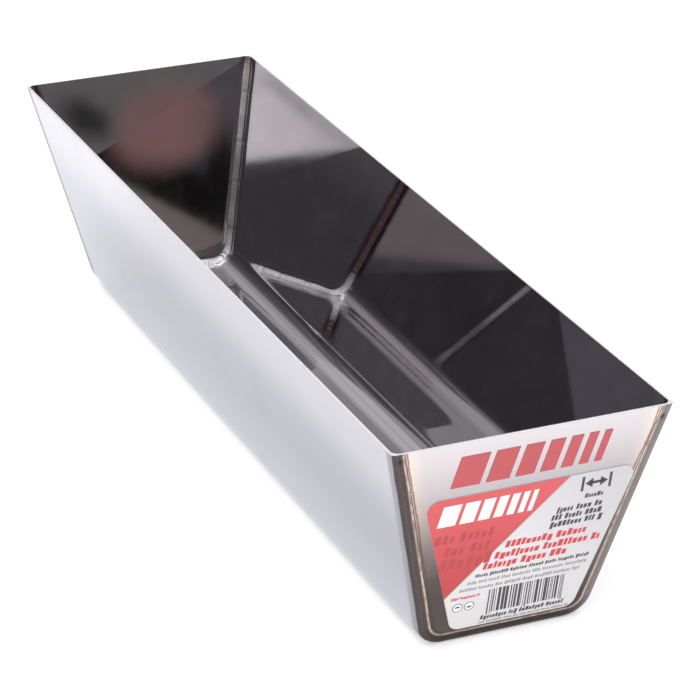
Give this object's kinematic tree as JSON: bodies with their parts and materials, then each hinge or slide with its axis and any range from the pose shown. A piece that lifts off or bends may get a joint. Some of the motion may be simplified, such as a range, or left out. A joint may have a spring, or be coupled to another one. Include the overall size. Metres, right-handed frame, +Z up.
{
  "type": "mud pan",
  "caption": "Open stainless steel trough with leaning walls, rounded bottom bends and flat welded end plates, for carrying drywall compound.",
  "frame": {"origin": "centre of the flat underside, on the floor", "axes": "+X along the pan towards the labelled end, +Y across it, +Z up out of the open top"},
  "size_m": [0.356, 0.093, 0.078],
  "materials": {
    "mirror_stainless": "mirror polished inside, fine satin outside",
    "end_stainless": "mirror polished inside, fine satin outside",
    "weld_bead": "ground weld with brown heat tint",
    "label_film": "silver-white printed film with a red corner",
    "red_ink": "thin red ink on bare steel"
  },
  "bodies": {
    "root": {"trough_sheet": "mirror_stainless", "front_end_plate": "end_stainless", "rear_end_plate": "end_stainless", "front_left_weld": "weld_bead", "front_bottom_weld": "weld_bead", "front_right_weld": "weld_bead", "rear_left_weld": "weld_bead", "rear_bottom_weld": "weld_bead", "rear_right_weld": "weld_bead", "size_label": "label_film", "printed_mark": "red_ink"}
  },
  "joints": []
}
